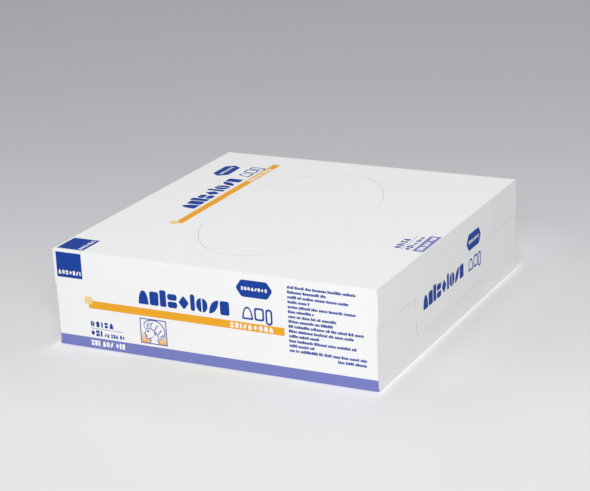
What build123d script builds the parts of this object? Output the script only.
"""Dispenser carton of 100 beret-form nonwoven caps, closed as it leaves the packer.

The carton is one die-cut blank of folding board. Each of its panels and flaps is a piece here,
divided at the creases, so that every flap can turn on its own fold line. +Z is up, -Y is the
printed front, +X is the right end, and the origin is the centre of the base.
"""

import os

from build123d import *

# Driving dimensions, in millimetres.
WIDTH = 265.0  # along X, over both closed ends
DEPTH = 275.0  # along Y, over front and back panels
HEIGHT = 76.0  # along Z
BOARD = 0.5  # caliper of the folding board
LAYER_GAP = 0.15  # between two flaps that lie on each other, the thickness of a pressed glue spot

# Tear-out oval in the top panel.
OVAL_WIDTH = 0.455 * WIDTH
OVAL_LENGTH = 0.775 * DEPTH
CUT_WIDTH = 0.3  # kerf of the perforating knife

# End flaps. The T-shaped upper flap is outermost, over the lower flap, over the two dust flaps.
SHOULDER_Z = 0.614 * HEIGHT  # lower edge of the upper flap, and the crease of its tongue
TONGUE_WIDTH = 0.513 * DEPTH
TONGUE_LENGTH = 0.398 * HEIGHT
TONGUE_RADIUS = 6.0
FLAP_CLEARANCE = 0.5  # each end flap stops this far short of the carton's front and back faces
SHOULDER_RADIUS = 2.0
LOWER_FLAP_LENGTH = 0.65 * HEIGHT
LOWER_FLAP_RADIUS = 5.0
DUST_LENGTH = 30.0
DUST_EDGE_GAP = 2.5  # from the top and bottom creases to the dust flap's edges at its fold
DUST_RADIUS = 3.0

# Layers of the right end, as distances of their inner faces from the middle of the carton.
UPPER_X = WIDTH / 2 - BOARD
LOWER_X = UPPER_X - LAYER_GAP - BOARD
DUST_X = LOWER_X - LAYER_GAP - BOARD

# Glue.
GLUE_SPOT_RADIUS = 4.5
GLUE_SPOT_SPACING_Y = 88.0
GLUE_SPOT_SPACING_Z = 14.0
GLUE_SPOT_MIDDLE_Z = 31.0
GLUE_FLAP_HEIGHT = 16.0
SEAM_GLUE_HEIGHT = 9.0
SEAM_GLUE_GAP = 0.2  # thickness of the glue between the back panel and the glue flap
SEAM_END_INSET = 6.0

# Contents: flat caps, crown up, each with an elastic ring on the edge of its underside.
CAP_COUNT = 100
CAP_RADIUS = 125.0
CAP_PITCH = 0.69
CAP_THICKNESS = 0.66
CAP_OPENING_RADIUS = 70.0  # relaxed opening on the underside
ELASTIC_WIDTH = 4.0
ELASTIC_CLEARANCE = 0.3

FRONT_Y = -DEPTH / 2

os.makedirs("parts", exist_ok=True)


def save(piece, name):
    """Label a finished piece and write it as its own STEP file."""
    piece.part.label = name
    export_step(piece.part, f"parts/{name}.step")


# Tube of the carton: four panels and the seam.
with BuildPart() as top_panel:
    with BuildSketch(Plane.XY.offset(HEIGHT - BOARD)):
        Rectangle(2 * UPPER_X, DEPTH)
        Ellipse(OVAL_WIDTH / 2, OVAL_LENGTH / 2, mode=Mode.SUBTRACT)
    extrude(amount=BOARD)
save(top_panel, "top_panel")

with BuildPart() as tear_out_panel:
    with BuildSketch(Plane.XY.offset(HEIGHT - BOARD)):
        Ellipse(OVAL_WIDTH / 2 - CUT_WIDTH, OVAL_LENGTH / 2 - CUT_WIDTH)
    extrude(amount=BOARD)
save(tear_out_panel, "tear_out_panel")

with BuildPart() as bottom_panel:
    with BuildSketch(Plane.XY):
        Rectangle(2 * (LOWER_X + BOARD), DEPTH)
    extrude(amount=BOARD)
save(bottom_panel, "bottom_panel")

for name, outer_y, inward in (("front_panel", FRONT_Y, 1), ("back_panel", -FRONT_Y, -1)):
    with BuildPart() as side_panel:
        # Plane.XZ faces -Y, so its offsets and extrusions are counted towards the front.
        with BuildSketch(Plane.XZ.offset(-outer_y)):
            with Locations((0, HEIGHT / 2)):
                Rectangle(2 * DUST_X, HEIGHT - 2 * BOARD)
        extrude(amount=-inward * BOARD)
    save(side_panel, name)

back_inner_y = DEPTH / 2 - BOARD
seam_length = 2 * (DUST_X - SEAM_END_INSET)
with BuildPart() as seam_glue:
    with BuildSketch(Plane.XZ.offset(-back_inner_y)):
        with Locations((0, BOARD + GLUE_FLAP_HEIGHT / 2)):
            Rectangle(seam_length, SEAM_GLUE_HEIGHT)
    extrude(amount=SEAM_GLUE_GAP)
save(seam_glue, "seam_glue")

with BuildPart() as glue_flap:
    with BuildSketch(Plane.XZ.offset(SEAM_GLUE_GAP - back_inner_y)):
        with Locations((0, BOARD)):
            Trapezoid(seam_length, GLUE_FLAP_HEIGHT, 60, align=(Align.CENTER, Align.MIN))
    extrude(amount=BOARD)
save(glue_flap, "glue_flap")

# Closed ends. The left end mirrors the right, so direction turns each offset and thickness round.
for side, direction in (("right", 1), ("left", -1)):
    with BuildPart() as upper_flap:
        with BuildSketch(Plane.YZ.offset(direction * UPPER_X)) as flap_outline:
            with Locations((0, SHOULDER_Z)):
                Rectangle(
                    DEPTH - 2 * FLAP_CLEARANCE, HEIGHT - SHOULDER_Z, align=(Align.CENTER, Align.MIN)
                )
            fillet(flap_outline.vertices().group_by(Axis.Y)[0], SHOULDER_RADIUS)
        extrude(amount=direction * BOARD)
    save(upper_flap, f"{side}_upper_flap")

    with BuildPart() as tongue:
        with BuildSketch(Plane.YZ.offset(direction * UPPER_X)) as tongue_outline:
            with Locations((0, SHOULDER_Z)):
                Rectangle(TONGUE_WIDTH, TONGUE_LENGTH, align=(Align.CENTER, Align.MAX))
            fillet(tongue_outline.vertices().group_by(Axis.Y)[0], TONGUE_RADIUS)
        extrude(amount=direction * BOARD)
    save(tongue, f"{side}_tongue")

    with BuildPart() as lower_flap:
        with BuildSketch(Plane.YZ.offset(direction * LOWER_X)) as flap_outline:
            with Locations((0, BOARD)):
                Rectangle(
                    DEPTH - 2 * FLAP_CLEARANCE, LOWER_FLAP_LENGTH, align=(Align.CENTER, Align.MIN)
                )
            fillet(flap_outline.vertices().group_by(Axis.Y)[-1], LOWER_FLAP_RADIUS)
        extrude(amount=direction * BOARD)
    save(lower_flap, f"{side}_lower_flap")

    with BuildPart() as glue_spots:
        with BuildSketch(Plane.YZ.offset(direction * (LOWER_X + BOARD))):
            with Locations((0, GLUE_SPOT_MIDDLE_Z)):
                with GridLocations(GLUE_SPOT_SPACING_Y, GLUE_SPOT_SPACING_Z, 2, 2):
                    Circle(GLUE_SPOT_RADIUS)
        extrude(amount=direction * LAYER_GAP)
    save(glue_spots, f"{side}_glue_spots")

    # In a sketch on Plane.YZ, the sketch's own X runs along the carton's Y and its Y along Z.
    for end, fold_y, inward, tip_group in (("front", FRONT_Y, 1, -1), ("back", -FRONT_Y, -1, 0)):
        tip_y = fold_y + inward * DUST_LENGTH
        # The lower edge climbs at 45 degrees and the upper edge falls at half that slope, so the
        # dust flap stays behind the lower and upper flaps while all of them swing open.
        with BuildPart() as dust_flap:
            with BuildSketch(Plane.YZ.offset(direction * DUST_X)) as dust_outline:
                with BuildLine():
                    Polyline(
                        (fold_y, DUST_EDGE_GAP),
                        (tip_y, DUST_EDGE_GAP + DUST_LENGTH),
                        (tip_y, HEIGHT - DUST_EDGE_GAP - DUST_LENGTH / 2),
                        (fold_y, HEIGHT - DUST_EDGE_GAP),
                        close=True,
                    )
                make_face()
                fillet(dust_outline.vertices().group_by(Axis.X)[tip_group], DUST_RADIUS)
            extrude(amount=direction * BOARD)
        save(dust_flap, f"{side}_{end}_dust_flap")

# Contents: a stack of flat caps, all but the top one in one node of separate solids.
stack_levels = [Plane.XY.offset(BOARD + layer * CAP_PITCH) for layer in range(CAP_COUNT)]
for cap_name, elastic_name, levels in (
    ("caps", "cap_elastics", stack_levels[:-1]),
    ("top_cap", "top_cap_elastic", stack_levels[-1:]),
):
    with BuildPart() as cap:
        with BuildSketch(*levels):
            Circle(CAP_RADIUS)
        extrude(amount=CAP_THICKNESS)
        with BuildSketch(*levels):
            Circle(CAP_OPENING_RADIUS)
        extrude(amount=CAP_THICKNESS / 2, mode=Mode.SUBTRACT)
    save(cap, cap_name)

    with BuildPart() as elastic:
        with BuildSketch(*levels):
            Circle(CAP_OPENING_RADIUS - ELASTIC_CLEARANCE)
            Circle(CAP_OPENING_RADIUS - ELASTIC_CLEARANCE - ELASTIC_WIDTH, mode=Mode.SUBTRACT)
        extrude(amount=CAP_THICKNESS / 2)
    save(elastic, elastic_name)
